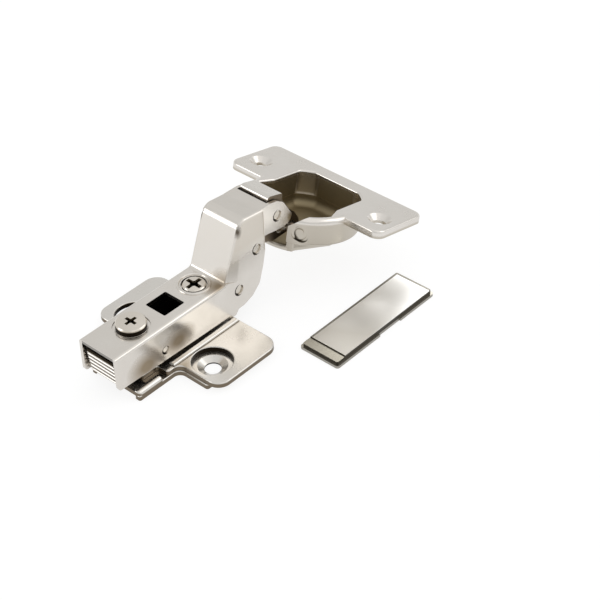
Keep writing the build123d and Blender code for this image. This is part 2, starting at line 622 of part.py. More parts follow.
def hinge_cup():
    cup = cup_flange()
    drum = upward(Circle(CUP_R), -CUP_DEPTH, -FLANGE_DROP + 0.3)
    drum = fillet(drum.edges().group_by(Axis.Z)[0], 0.8)
    collar = upward(Circle(COLLAR_R), -FLANGE_DROP, 0)
    collar = fillet(collar.edges().group_by(Axis.Z)[-1], 1.7)
    cup += drum + collar
    cup -= upward(mouth(), -CUP_DEPTH + 1.1, 5)
    rim = cup.edges().filter_by(
        lambda e: abs(e.center().Z) < 0.01
        and math.hypot(e.center().X, e.center().Y) < CUP_R - 0.3)
    cup = fillet(rim, 0.65)
    outer = pocket(GAP_HALF, MOUTH_HALF + 1.0, MOUTH_FAR + 1.1, POCKET_R,
                   -POCKET_DEPTH, -4.0, 2.2)
    cup += outer - upward(mouth(), -CUP_DEPTH + 1.1, 0)
    deep = pocket(GAP_HALF - 0.6, MOUTH_HALF - 0.1, MOUTH_FAR - 0.1, POCKET_R - 1.1,
                  -POCKET_FLOOR, -4.0, 2.6)
    cup -= deep & upward(mouth(), -POCKET_DEPTH, 0)
    for v in (-CUP_SCREW_PITCH / 2, CUP_SCREW_PITCH / 2):
        seat = Pos(CUP_SCREW_U, v, 0) * Cylinder(
            4.6, FLANGE_DROP, align=(Align.CENTER, Align.CENTER, Align.MAX))
        cup += seat
    cup -= arm_gap()
    cup += cup_cheeks()
    for v in (-CUP_SCREW_PITCH / 2, CUP_SCREW_PITCH / 2):
        dimple = Plane.XZ * make_face(Polyline(
            (0, -5), (2.1, -5), (2.1, -1.5), (3.75, 0.02), (3.75, 2), (0, 2), close=True))
        cup -= Pos(CUP_SCREW_U, v, 0) * revolve(dimple, Axis.Z)
    cup -= cross_pin(PIN_A, PIN_A_R + SEAT, -GAP_HALF - 2.1, GAP_HALF + 2.1)
    cup -= cross_pin(PIN_B, PIN_B_R + SEAT, -inner_pin_half() - 0.1, inner_pin_half() + 0.1)
    cup -= mirrored(stake_mark())
    return CUP_AT * cup


def arm_gap():
    """Slot in the arm side of the cup; its rim dips towards the slot in a smooth curve."""
    g = GAP_HALF
    floor = -POCKET_FLOOR + 0.9
    half = [
        (g + 5.3, 3, 0), (g + 5.3, 0.3, 0), (g + 3.7, 0, 1.5), (g + 1.7, -1.85, 2.0),
        (g, -3.1, 0.4), (g, floor, 0.8),
    ]
    gap = outline([(-v, w, r) for v, w, r in half] + [(v, w, r) for v, w, r in half[::-1]])
    return Pos(-CUP_R + 6.5, 0, 0) * extrude(Plane.YZ * gap, amount=-8)


def cup_cheeks():
    """Walls inside the cup, each side of the slot, that carry the two cup pins."""
    r = CUP_R
    foot = -POCKET_FLOOR - 0.2
    cheek = outline([
        (1.3 - r, foot, 0), (1.5 - r, -5.4, 2.0), (3.5 - r, -2.9, 1.5), (6.9 - r, -3.3, 2.0),
        (10.9 - r, -7.6, 2.5), (11.5 - r, foot, 0),
    ])
    return mirrored(across(cheek, GAP_HALF + 0.3, GAP_HALF + 1.6)) & Cylinder(CUP_R - 0.4, 40)


def stake_mark():
    """Shallow round mark on the drum over the end of the inner pin."""
    u, w = -0.806 * CUP_R, PIN_B[1]
    v = math.sqrt(CUP_R ** 2 - u ** 2)
    axis = Plane(origin=(u, v, w), z_dir=(u, v, 0))
    ring = Cylinder(2.35, 3) - Cylinder(1.45, 3)
    return axis * (Pos(0, 0, 1.05) * ring)


def inner_pin_half():
    """Half length of the inner pin: it stops just short of the drum's outer face."""
    return math.sqrt(CUP_R ** 2 - (abs(PIN_B[0]) + PIN_B_R) ** 2) - 0.4


def outer_cup_pin(side):
    y0, y1 = sorted((side * (NOSE_HALF - 2.75), side * (GAP_HALF + 2.0)))
    return cross_pin(A, PIN_A_R, y0, y1)


def inner_cup_pin():
    return dome_pin(B, PIN_B_R, inner_pin_half())


# ---------------------------------------------------------------- cover cap
def cover_cap():
    length, width, height, lip = 44.0, 14.5, 2.3, 0.6
    cap = upward(RectangleRounded(length, width, 0.9), 0, 0.9)
    plateau = upward(RectangleRounded(length - 2 * lip, width - 2 * lip, 0.6), 0.5, height)
    cap += fillet(plateau.edges().filter_by(Plane.XY).group_by(Axis.Z)[-1], 0.28)
    step = Pos(-length / 2 + lip + 3.4, 0, height - 0.4) * Box(
        8, width + 2, 2, align=(Align.MAX, Align.CENTER, Align.MIN))
    cap -= step
    cap -= Pos(1.6, -width / 2, 0) * Box(9.4, 1.0, 4)
    cap -= upward(RectangleRounded(length - 2.6, width - 2.6, 0.6), -1, height - 1.3)
    return Pos(44.8, -36.0, 0) * cap


PARTS = {
    "base_plate": base_plate,
    "wing_plate": wing_plate,
    "guide_rivet_front": lambda: guide_rivet(GUIDE_X[0]),
    "guide_rivet_rear": lambda: guide_rivet(GUIDE_X[1]),
    "height_cam": height_cam,
    "clip_carriage": clip_carriage,
    "front_axle": front_axle,
    "lever_pin": lever_pin,
    "lever_spring": lever_spring,
    "release_lever": release_lever,
    "tilt_pin": tilt_pin,
    "hinge_arm": hinge_arm,
    "depth_screw": depth_screw,
    "side_screw": side_screw,
    "outer_rivet": outer_rivet,
    "inner_rivet": inner_rivet,
    "damper_rivet": damper_rivet,
    "damper_body": damper_body,
    "damper_rod": damper_rod,
    "closing_spring": closing_spring,
    "outer_link": outer_link,
    "inner_link": inner_link,
    "hinge_cup": hinge_cup,
    "outer_cup_pin_near": lambda: outer_cup_pin(-1),
    "outer_cup_pin_far": lambda: outer_cup_pin(1),
    "inner_cup_pin": inner_cup_pin,
    "cover_cap": cover_cap,
}

os.makedirs("parts", exist_ok=True)
for name, make in PARTS.items():
    shape = make()
    solids = shape.solids()
    print(name, len(solids), round(shape.volume, 2), shape.is_valid)
    export_step(shape, f"parts/{name}.step")
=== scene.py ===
# %% [markdown]
# # A concealed cup hinge, dressed and lit
#
# The shapes of this hinge come ready-made as a frame: one object for each
# pressed, turned or cast part, each already riding on the body that it moves
# with. What is left for Blender is what the eye reads as metal: the plating,
# its grain, the shade painted into the colour inside the pressings, the drawn
# wire of the springs, and a studio for all of them to reflect.

# %% Load the frame
import json
import math
import bpy
from mathutils import Matrix, Vector


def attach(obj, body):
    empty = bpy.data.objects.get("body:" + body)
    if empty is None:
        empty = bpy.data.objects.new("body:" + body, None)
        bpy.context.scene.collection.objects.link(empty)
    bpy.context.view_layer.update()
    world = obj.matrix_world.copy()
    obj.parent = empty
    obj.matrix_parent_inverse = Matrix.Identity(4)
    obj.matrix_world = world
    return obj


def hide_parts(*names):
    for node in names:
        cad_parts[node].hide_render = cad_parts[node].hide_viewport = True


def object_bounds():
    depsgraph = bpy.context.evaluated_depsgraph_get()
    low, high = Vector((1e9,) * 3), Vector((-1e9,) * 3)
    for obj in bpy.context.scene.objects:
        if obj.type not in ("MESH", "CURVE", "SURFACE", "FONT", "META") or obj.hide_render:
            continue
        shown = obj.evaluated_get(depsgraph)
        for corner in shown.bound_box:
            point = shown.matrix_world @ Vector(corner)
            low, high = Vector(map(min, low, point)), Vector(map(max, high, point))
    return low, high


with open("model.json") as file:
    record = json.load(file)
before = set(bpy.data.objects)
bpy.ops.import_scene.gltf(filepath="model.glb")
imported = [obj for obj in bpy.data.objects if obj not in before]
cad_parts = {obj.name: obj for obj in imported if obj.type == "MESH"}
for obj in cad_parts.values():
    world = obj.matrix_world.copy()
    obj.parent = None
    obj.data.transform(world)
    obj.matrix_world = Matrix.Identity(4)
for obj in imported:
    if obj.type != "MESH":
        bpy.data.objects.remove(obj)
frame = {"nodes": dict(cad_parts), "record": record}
cad_box = [list(corner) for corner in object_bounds()]
NODES = frame["nodes"]
print("parts in the frame:", len(NODES))
print("size of the hinge in mm:", [round((b - a) * 1000, 1) for a, b in zip(*cad_box)])

# %% [markdown]
# ## The camera
#
# A product picture of a small fitting is taken with a long lens, so that
# parallel edges stay nearly parallel. The camera is given by where it stands
# and by its three directions: right, up and forward. Writing those as the
# columns of a matrix is exact, and saves guessing at three rotation angles.

# %% Place the camera
MM = 0.001
LENS_MM = 99.0
SENSOR_MM = 36.0
NEAREST_SEEN = 10 * MM
CAMERA_AT = Vector((-241.609, -277.146, 309.198)) * MM
LOOKS = Vector((0.56908, 0.53296, -0.62618)).normalized()
RIGHT = Vector((0.66695, -0.74459, -0.02761))
RIGHT = (RIGHT - LOOKS * RIGHT.dot(LOOKS)).normalized()
UP = RIGHT.cross(LOOKS)


def make_camera():
    data = bpy.data.cameras.new("long_lens")
    data.sensor_width = SENSOR_MM
    data.lens = LENS_MM
    data.clip_start = NEAREST_SEEN
    camera = bpy.data.objects.new("long_lens", data)
    turn = Matrix((RIGHT, UP, -LOOKS)).transposed().to_4x4()
    camera.matrix_world = Matrix.Translation(CAMERA_AT) @ turn
    bpy.context.scene.collection.objects.link(camera)
    return camera


bpy.context.scene.camera = make_camera()
print("camera stands", round(CAMERA_AT.length * 1000), "mm from the plate")

# %% [markdown]
# ## Colours and nodes
#
# Colours are written the way a paint chart writes them, as sRGB hex values.
# Blender's shaders work in linear light, so one function turns a hex value
# into linear numbers. A second small function adds any node, with its settings
# and its links, so that a material reads as a short list of steps.

# %% Helpers for every material
def colour(code):
    values = [int(code[i:i + 2], 16) / 255 for i in (1, 3, 5)]
    linear = [v / 12.92 if v <= 0.04045 else ((v + 0.055) / 1.055) ** 2.4 for v in values]
    return (*linear, 1.0)


def add(tree, kind, inputs=(), **settings):
    """A node of this kind. inputs maps a socket to a value or to another node's output."""
    node = tree.nodes.new(kind)
    for name, value in settings.items():
        setattr(node, name, value)
    for socket, value in dict(inputs).items():
        if isinstance(value, bpy.types.NodeSocket):
            tree.links.new(value, node.inputs[socket])
        else:
            node.inputs[socket].default_value = value
    return node


def new_material(name):
    """A material with its node tree, and the shader that the tree ends in."""
    material = bpy.data.materials.new(name)
    material.use_nodes = True
    return material, material.node_tree, material.node_tree.nodes["Principled BSDF"]


print("warm nickel in linear light:", [round(v, 3) for v in colour("#CFC8BD")[:3]])

# %% [markdown]
# ## Where shade is painted on a pressing
#
# Inside a channel, on the wall of a punched hole and on the sheared edge of a
# sheet, the colour is painted duller and browner: painted shade. Each of those
# places can be said in plain geometry on the part itself: behind these planes,
# near this axis, or facing this way.
#
# A mask here is a node output that is 1 where shade is painted into the colour
# and 0 where the steel keeps its own colour. Distances are in millimetres,
# measured in the part's own coordinates, so the masks ride with the part.

# %% Masks
def both(tree, first, second, way="MULTIPLY"):
    """Two masks as one: MULTIPLY keeps what they share, MAXIMUM keeps either."""
    return add(tree, "ShaderNodeMath", {0: first, 1: second}, operation=way).outputs[0]


def behind(tree, where, faces):
    """1 for points that lie behind every face: (normal, distance along it, softness)."""
    mask = None
    for normal, distance, soft in faces:
        along = add(tree, "ShaderNodeVectorMath", {0: where, 1: normal}, operation="DOT_PRODUCT")
        step = add(tree, "ShaderNodeMapRange", {
            "Value": along.outputs["Value"], "From Min": distance * MM,
            "From Max": (distance - soft) * MM}).outputs["Result"]
        mask = step if mask is None else both(tree, mask, step)
    return mask


def near_axis(tree, where, at, keep, radius, soft):
    """1 within a radius of a line through a point.

    keep says how much each axis counts: 0 along the line, 1 across it, and more
    than 1 across it to make the spot narrower that way.
    """
    off = add(tree, "ShaderNodeVectorMath", {
        0: where, 1: [v * MM for v in at]}, operation="SUBTRACT").outputs[0]
    flat = add(tree, "ShaderNodeVectorMath", {0: off, 1: keep}, operation="MULTIPLY").outputs[0]
    far = add(tree, "ShaderNodeVectorMath", {0: flat}, operation="LENGTH").outputs["Value"]
    return add(tree, "ShaderNodeMapRange", {
        "Value": far, "From Min": radius * MM, "From Max": (radius - soft) * MM}).outputs["Result"]


def facing(tree, normal, way, start, full):
    """How far a face looks along a direction: 0 at the value start, 1 at the value full."""
    lean = add(tree, "ShaderNodeVectorMath", {0: normal, 1: way}, operation="DOT_PRODUCT")
    return add(tree, "ShaderNodeMapRange", {
        "Value": lean.outputs["Value"], "From Min": start, "From Max": full}).outputs["Result"]


def folded(tree, vector):
    """The two sides of the hinge laid on each other: no coordinate is negative."""
    return add(tree, "ShaderNodeVectorMath", {0: vector}, operation="ABSOLUTE").outputs[0]


def mirrored_spot(tree, where, at, reach, radius, soft, keep):
    """A soft spot on both outer sides, further out than reach from the middle."""
    spot = near_axis(tree, where, at, keep, radius, soft)
    outer = behind(tree, folded(tree, where), [((0, -1, 0), -reach, 0.2)])
    return both(tree, spot, outer)


def crescent(tree, where, disc, clear, keep):
    """What a second disc leaves of the first. A disc is (centre, radius, softness)."""
    whole = near_axis(tree, where, disc[0], keep, *disc[1:])
    hole = near_axis(tree, where, clear[0], keep, *clear[1:])
    rest = add(tree, "ShaderNodeMath", {0: 1.0, 1: hole}, operation="SUBTRACT").outputs[0]
    return both(tree, whole, rest)


# What counts round a pin that lies across the hinge and round an upright screw.
ROUND_PIN = (1, 0, 1)
ROUND_SCREW = (1, 1, 0)
UP_WAY = (0, 0, 1)
print("masks ready")

# %% [markdown]
# ## Satin nickel plating
#
# The arm, the two plates, the cup and the links are pressed from steel strip,
# tumbled until the burrs are gone, and plated with nickel. Nickel is a warm
# pale metal. Tumbling leaves a very fine, directionless grain, which blurs
# reflections a little and unevenly: the eye sees a soft sheen that changes
# slowly along a face, not a mirror and not paint.
#
# The grain of tumbling is about 0.1 mm. That is finer than a pixel here, so it
# is drawn at 0.35 mm, faint enough to read as satin. The tone and the sheen
# drift over about 11 mm, so that a face changes a few times along its length.

# %% Nickel-plated metal
GRAIN_MM = 0.35
GRAIN_DEPTH_MM = 0.004
GRAIN_BUMP = 0.2
GRAIN_HAZE = 0.05
DRIFT_MM = 11.0
DRIFT_RANGE = (0.3, 0.7)


def plated(name, pale, deep, gloss, dull, shades=(), depth=GRAIN_DEPTH_MM):
    """Plated metal whose tone and sheen drift slowly, with a fine grain.

    The colour drifts from pale to deep and the roughness from gloss to dull.
    shades are (mask function, colour, roughness) for the places where shade is painted into the
    colour.
    """
    material, tree, shader = new_material(name)
    place = add(tree, "ShaderNodeTexCoord")
    where = place.outputs["Object"]
    cloud = add(tree, "ShaderNodeTexNoise", {
        "Vector": where, "Scale": 1 / (DRIFT_MM * MM), "Detail": 3.0, "Roughness": 0.55})
    specks = add(tree, "ShaderNodeTexNoise", {
        "Vector": where, "Scale": 1 / (GRAIN_MM * MM), "Detail": 2.0, "Roughness": 0.6})
    tone = add(tree, "ShaderNodeMix", {
        "Factor": cloud.outputs["Fac"], 6: colour(pale), 7: colour(deep)},
        data_type="RGBA").outputs[2]
    rough = add(tree, "ShaderNodeMapRange", {
        "Value": cloud.outputs["Fac"], "From Min": DRIFT_RANGE[0], "From Max": DRIFT_RANGE[1],
        "To Min": gloss, "To Max": dull}).outputs["Result"]
    for mask_of, shade, shade_rough in shades:
        mask = mask_of(tree, where, place.outputs["Normal"])
        tone = add(tree, "ShaderNodeMix", {0: mask, 6: tone, 7: colour(shade)},
                   data_type="RGBA").outputs[2]
        rough = add(tree, "ShaderNodeMix", {0: mask, 2: rough, 3: shade_rough}).outputs[0]
    haze = add(tree, "ShaderNodeMath", {0: specks.outputs["Fac"], 1: GRAIN_HAZE, 2: rough},
               operation="MULTIPLY_ADD")
    bump = add(tree, "ShaderNodeBump", {
        "Strength": GRAIN_BUMP, "Distance": depth * MM, "Height": specks.outputs["Fac"]})
    shader.inputs["Metallic"].default_value = 1.0
    tree.links.new(tone, shader.inputs["Base Color"])
    tree.links.new(haze.outputs["Value"], shader.inputs["Roughness"])
    tree.links.new(bump.outputs["Normal"], shader.inputs["Normal"])
    return material


print("plating ready; its grain is", GRAIN_MM, "mm")

# %% [markdown]
# ## The arm
#
# The arm is a channel folded from one strip. Its outside is bright; its inside
# and the walls of the square window and of the groove round the large screw are
# painted dark, a painted shade. The outside of its web is three flat faces in a
# row, so the inside is simply what lies more than a hair behind them and between
# the two side walls.
#
# A few smaller places get painted shade too: one side wall of the nose, which is
# also rougher, two patches low on each side and one at the riser's foot, the dent
# where three bends meet at the riser's head, and a thin crescent beside each
# rivet.

# %% Where shade is painted on the arm
RISER_NORMAL = (-0.928, 0.0, 0.372)
PANEL_NORMAL = (0.113, 0.0, 0.994)
WEB_OUTWARD = (-0.454, 0, 0.891)
BETWEEN_WALLS = [((0, 1, 0), 6.25, 0.1), ((0, -1, 0), 6.25, 0.1)]
UNDER_FLAT = [((0, 0, 1), 16.7, 0.12), ((1, 0, 0), 15.9, 0.2)]
UNDER_RISER = [
    (RISER_NORMAL, -8.28, 0.12), (PANEL_NORMAL, 37.2, 0.12), ((-1, 0, 0), -15.6, 0.2)]

OUTER_WALL_Y = 7.2
# Painted shade: two soft patches low on each outer side wall.
WALL_SHADE_PATCHES = (
    ((-16.8, 0, 7.6), 6.0, 4.6, (0.72, 0, 1.0)),
    ((-4.4, 0, 9.0), 5.6, 4.4, (0.75, 0, 1.0)))
RISER_FOOT = (13.6, -6.2, 17.2)
RISER_HEAD = (21.8, 0, 31.9)
NOSE_FROM = [((0, 0, -1), -22.0, 4.0), ((0, -1, 0), -6.9, 0.3)]

# Each rivet: x, z and the radius of its spun end. The lit disc is shifted from it.
RIVETS = ((38.7, 28.3, 2.05), (29.0, 22.0, 2.05), (20.9, 11.8, 2.05), (-9.4, 8.7, 1.55))
LIT_SHIFT = (0.6, 0.1)


def shade_inside_arm(tree, where, normal):
    """Painted shade under the web and between the walls, unless it looks outwards."""
    flat = behind(tree, where, BETWEEN_WALLS + UNDER_FLAT)
    riser = behind(tree, where, BETWEEN_WALLS + UNDER_RISER)
    inner = both(tree, flat, riser, "MAXIMUM")
    return both(tree, inner, facing(tree, normal, WEB_OUTWARD, 0.6, 0.35))


# Painted shade: a dark crescent on one side of each rivet's end.
def rivet_shade(tree, where, normal):
    mask = None
    for x, z, radius in RIVETS:
        lit_at = (x + LIT_SHIFT[0], 0, z + LIT_SHIFT[1])
        edge = crescent(tree, where, ((x, 0, z), radius, 0.15), (lit_at, radius, 0.3), ROUND_PIN)
        mask = edge if mask is None else both(tree, mask, edge, "MAXIMUM")
    return mask


def painted_shade_patches(tree, where, normal):
    """Painted shade: two patches low on each side wall, and the corner inside the foot of the
    riser.
    """
    foot = near_axis(tree, where, RISER_FOOT, (1, 1, 1), 5.8, 5.0)
    mask = both(tree, foot, facing(tree, normal, (-0.3, 0, 0.95), 0.35, 0.6))
    for at, radius, soft, keep in WALL_SHADE_PATCHES:
        patch = mirrored_spot(tree, where, at, OUTER_WALL_Y, radius, soft, keep)
        mask = both(tree, mask, patch, "MAXIMUM")
    return mask


def nose_wall_shade(tree, where, normal):
    """The nose's side wall towards -Y, given a little painted shade and a higher roughness to dim
    its reflection.
    """
    high = behind(tree, folded(tree, where), NOSE_FROM)
    return both(tree, high, facing(tree, normal, (0, -1, 0), 0.6, 0.9))


def dent_shade(tree, where, normal):
    """Painted shade in the small dent where three bends meet at the riser's head."""
    return mirrored_spot(tree, where, RISER_HEAD, 6.5, 1.8, 1.5, (1.2, 0, 0.7))


print("shaded rivets:", len(RIVETS), "on each side")

# %% Arm finish
arm_nickel = plated("satin_nickel_on_the_arm", "#EEEAE4", "#E0DAD2", 0.17, 0.25, [
    (nose_wall_shade, "#E6E0D7", 0.5), (painted_shade_patches, "#A0917C", 0.32),
    (dent_shade, "#6E665B", 0.35), (shade_inside_arm, "#2E2820", 0.45),
    (rivet_shade, "#2C251D", 0.4)])
print("arm finish:", len(arm_nickel.node_tree.nodes), "nodes")

# %% [markdown]
# ## The cup
#
# The cup is deep-drawn: its bowl is formed in several strokes. Its flange is
# pale; its drum is painted a shade greyer and its bowl a dark olive-brown with a
# satin sheen, both painted shade. The bowl is told from the drum by the way that
# it faces: towards the cup's own axis. A round mark is struck on each side of the
# drum over the inner pin, and one side of it is painted with shade.

# %% Cup finish
CUP_CENTRE = (58.654, 0.0, 22.05)
CUP_TILT = math.radians(13.0)
BOWL_RADIUS = 16.4
BOWL_TOP = [(UP_WAY, -0.75, 0.7)]
UNDER_FLANGE = [(UP_WAY, -1.5, 0.5)]
DRUM_FROM = [((0, -1, 0), -9.0, 0.3)]

# The mark lies on a slant of the drum, so it is narrower along X than along Z.
MARK = ((44.05, 0, 20.0), 2.6, 0.2)
MARK_LIT = ((44.5, 0, 20.3), 2.4, 0.5)
MARK_KEEP = (1.7, 0, 1)


def in_cup(tree, vector, at):
    """A vector in the cup's own axes: u along the arm, v across it, w out of the bowl."""
    off = add(tree, "ShaderNodeVectorMath", {
        0: vector, 1: [v * MM for v in at]}, operation="SUBTRACT").outputs[0]
    return add(tree, "ShaderNodeVectorRotate", {
        "Vector": off, "Center": (0, 0, 0), "Axis": (0, 1, 0), "Angle": -CUP_TILT},
        rotation_type="AXIS_ANGLE").outputs[0]


def bowl_shade(tree, where, normal):
    """Painted shade in the bowl: its wall looks back at the axis and its floor looks up."""
    spot = in_cup(tree, where, CUP_CENTRE)
    faces = in_cup(tree, normal, (0, 0, 0))
    from_axis = add(tree, "ShaderNodeVectorMath", {0: spot, 1: ROUND_SCREW},
                    operation="MULTIPLY").outputs[0]
    wall = facing(tree, faces, from_axis, -0.5 * MM, -4 * MM)
    floor = facing(tree, faces, UP_WAY, 0.3, 0.7)
    deep = behind(tree, spot, BOWL_TOP)
    bowl = near_axis(tree, spot, (0, 0, 0), ROUND_SCREW, BOWL_RADIUS, 0.3)
    return both(tree, both(tree, wall, floor, "MAXIMUM"), both(tree, deep, bowl))


def drum_shade(tree, where, normal):
    """The drawn wall under the flange, painted a shade greyer: painted shade under the flange."""
    return behind(tree, in_cup(tree, where, CUP_CENTRE), UNDER_FLANGE)


def mark_shade(tree, where, normal):
    """Painted shade on one side of the round mark on the drum, on its outer faces alone."""
    outer = behind(tree, folded(tree, where), DRUM_FROM)
    return both(tree, crescent(tree, where, MARK, MARK_LIT, MARK_KEEP), outer)


cup_nickel = plated("satin_nickel_on_the_cup", "#F0ECE7", "#E4DFD8", 0.17, 0.25, [
    (drum_shade, "#CDC6BA", 0.26), (mark_shade, "#3E372C", 0.4),
    (bowl_shade, "#95886D", 0.46)], depth=0.002)
print("cup finish:", len(cup_nickel.node_tree.nodes), "nodes")

# %% [markdown]
# ## The two mounting plates
#
# Sheet that is blanked in a press has a rolled top and a torn, rougher flank.
# The flank is where a face looks sideways, so the mask reads how far the face's
# normal leans from upright; there the colour is painted darker and browner, a
# painted shade. The undersides are painted darker than the tops, and the wall of
# the window in each wing darkest, because it faces only its own dimple: both
# painted shade. The links are of the same sheet.

# %% Plate finish
WING_WINDOW = (0, 16, 0)


# Painted shade on every face that looks sideways.
def sheared_edge_shade(tree, where, normal):
    return facing(tree, folded(tree, normal), UP_WAY, 0.35, 0.1)


# Painted shade on every face that looks down.
def underside_shade(tree, where, normal):
    return facing(tree, normal, UP_WAY, -0.3, -0.8)


# Painted shade, the darkest, on the wall of each wing's window.
def window_wall_shade(tree, where, normal):
    ring = near_axis(tree, folded(tree, where), WING_WINDOW, ROUND_SCREW, 6.5, 0.1)
    return both(tree, ring, sheared_edge_shade(tree, where, normal))


plate_nickel = plated("satin_nickel_on_blanked_sheet", "#EBE8E3", "#DFDBD4", 0.19, 0.27, [
    (sheared_edge_shade, "#7E7262", 0.36), (underside_shade, "#A89D8E", 0.34),
    (window_wall_shade, "#241E16", 0.4)])
print("plate finish:", len(plate_nickel.node_tree.nodes), "nodes")

# %% [markdown]
# ## Screws and rivets
#
# The screws are cold-headed and nickel plated, brighter than the sheet. Their
# cross recesses are punched, and painted yellowish and dull, and what lies under
# the head is painted dark, both painted shade. The rivets' ends sit in their
# holes and are spun over, and the arm's painted crescent of shade carries on to
# each rivet.

# %% Screw and rivet finishes
DEPTH_SCREW = (-14.8, 0.0, 0.0)
SIDE_SCREW = (10.0, 0.0, 0.0)


def recess(at, top, radius):
    """Painted shade in the cross: below the head's top and near the screw's axis."""
    def mask(tree, where, normal):
        spot = near_axis(tree, where, at, ROUND_SCREW, radius, 0.15)
        return both(tree, spot, behind(tree, where, [(UP_WAY, top, 0.12)]))
    return mask


# Painted shade under the screw's head, below a given height.
def shade_under_head(height):
    def mask(tree, where, normal):
        return behind(tree, where, [(UP_WAY, height, 0.25)])
    return mask


depth_nickel = plated("bright_nickel_on_the_depth_screw", "#EFE9E0", "#E0D8CC", 0.15, 0.22, [
    (recess(DEPTH_SCREW, 18.75, 2.4), "#A3946F", 0.5), (shade_under_head(18.25), "#2E261E", 0.4)])
side_nickel = plated("bright_nickel_on_the_side_screw", "#EFE9E0", "#E0D8CC", 0.14, 0.2, [
    (recess(SIDE_SCREW, 16.95, 2.9), "#C9BC9E", 0.5), (shade_under_head(16.6), "#2A241C", 0.4)])
rivet_nickel = plated("nickel_on_spun_rivets", "#EAE5DC", "#D8D1C6", 0.18, 0.26, [
    (rivet_shade, "#2C251D", 0.4)])
print("screw and rivet finishes:", [m.name for m in (depth_nickel, side_nickel, rivet_nickel)])

# %% [markdown]
# ## The release lever and the parts inside the arm
#
# The lever is die-cast zinc under bright nickel: whiter and glossier than the
# pressings. Its grip has ten ribs, 0.76 mm apart, which is too fine to show, so
# the shade between them is painted as a dark line at every second valley. The
# clip carriage and the height cam sit inside the arm, and their nickel is painted
# nearly black, a painted shade for the dark seen through the window. Spring wire
# is drawn steel: greyer than nickel and bright.

# %% Lever, carriage, cam and wire finishes
LINE_PITCH = 1.52
RIB_VALLEY_Z = 5.57
GRIP_FACE = [((1, 0, 0), -25.6, 0.1)]
GRIP_TOP = [((0, 0, -1), -13.1, 0.1)]
GRIP_BACK = [((-1, 0, 0), 25.3, 0.2)]


def rib_valley_shade(tree, where, normal):
    """Painted shade: dark lines across the grip, from how far the height is from a whole number of
    lines.
    """
    height = add(tree, "ShaderNodeSeparateXYZ", {0: where}).outputs["Z"]
    count = add(tree, "ShaderNodeMath", {
        0: height, 1: 1 / (LINE_PITCH * MM), 2: -RIB_VALLEY_Z / LINE_PITCH},
        operation="MULTIPLY_ADD")
    away = add(tree, "ShaderNodeMath", {0: count.outputs[0], 1: 0.5}, operation="PINGPONG")
    valley = add(tree, "ShaderNodeMapRange", {
        "Value": away.outputs[0], "From Min": 0.2, "From Max": 0.14}).outputs["Result"]
    return both(tree, valley, behind(tree, where, GRIP_FACE))


def lever_top_shade(tree, where, normal):
    """Painted shade on the top of the grip and its back, which only look into the dark of the
    channel.
    """
    return both(tree, behind(tree, where, GRIP_TOP), behind(tree, where, GRIP_BACK), "MAXIMUM")


lever_nickel = plated("bright_nickel_on_die_cast_zinc", "#F2EFEA", "#E6E1DA", 0.16, 0.24, [
    (rib_valley_shade, "#5A5246", 0.35), (lever_top_shade, "#2A241C", 0.45)])
# The carriage and the cam get nickel painted nearly black: painted shade for the inside of the
# arm.
nickel_painted_dark_inside = plated("nickel_painted_dark_on_spring_steel", "#3E382F", "#29241D", 0.3, 0.45)
wire_steel = plated("bright_drawn_spring_wire", "#B9B2A6", "#9C9488", 0.2, 0.3)
print("inner finishes:", [m.name for m in (lever_nickel, nickel_painted_dark_inside, wire_steel)])

# %% [markdown]
# ## The damper
#
# The damper is moulded in black acetal, a hard plastic that is slippery without
# oil. Its mould is spark-eroded, which leaves shallow pits about 0.1 mm across.
# They are drawn at 0.3 mm, just coarse enough to show: the eye sees a faint
# gloss, broken up a little.

# %% Damper finish
SPARK_MM = 0.3
SPARK_DEPTH_MM = 0.01
ACETAL_ROUGHNESS = 0.42


def moulded_plastic(name, pale, deep):
    material, tree, shader = new_material(name)
    where = add(tree, "ShaderNodeTexCoord").outputs["Object"]
    spark = add(tree, "ShaderNodeTexNoise", {
        "Vector": where, "Scale": 1 / (SPARK_MM * MM), "Detail": 2.0})
    tone = add(tree, "ShaderNodeMix", {
        0: spark.outputs["Fac"], 6: colour(pale), 7: colour(deep)}, data_type="RGBA")
    bump = add(tree, "ShaderNodeBump", {
        "Strength": 0.3, "Distance": SPARK_DEPTH_MM * MM, "Height": spark.outputs["Fac"]})
    shader.inputs["Roughness"].default_value = ACETAL_ROUGHNESS
    tree.links.new(tone.outputs[2], shader.inputs["Base Color"])
    tree.links.new(bump.outputs["Normal"], shader.inputs["Normal"])
    return material


black_acetal = moulded_plastic("moulded_black_acetal", "#26241F", "#191815")
print("damper finish:", black_acetal.name)

# %% [markdown]
# ## The cover cap
#
# The loose cap is stamped in steel and its raised top is buffed after plating,
# and painted the whitest nickel of all, greying at one end: a painted
# reflection. It is kept satin rather than a true mirror, so that it shows the
# lamp over it as one soft white end and not a hard picture of its neighbours.
# The step round the top, the lip and a line along its far side and far end are
# painted satin grey, and the steep flank between them is painted as a dark
# line: all painted shade.

# %% Cap finish
CAP_LIP_Z = 0.9
CAP_GRAIN_DEPTH_MM = 0.001

# Each place lies behind one plane: (normal, distance along it, softness).
FAR_SIDE = [((0, -1, 0), 30.25, 0.1)]
FAR_END = [((-1, 0, 0), -65.3, 0.1)]
STEP = [(UP_WAY, 2.0, 0.1)]
LIP = [(UP_WAY, CAP_LIP_Z + 0.04, 0.1)]
ABOVE_LIP = [((0, 0, -1), CAP_LIP_Z, 0.1)]
# Painted reflection: the raised top greys towards one end.
PAINTED_GREY_END = [((0.86, 0.51, 0.0), 25.5, 14.0)]


# Painted shade on the steep flank above the lip.
def cap_flank_shade(tree, where, normal):
    steep = facing(tree, normal, UP_WAY, 0.75, 0.35)
    return both(tree, steep, behind(tree, where, ABOVE_LIP))


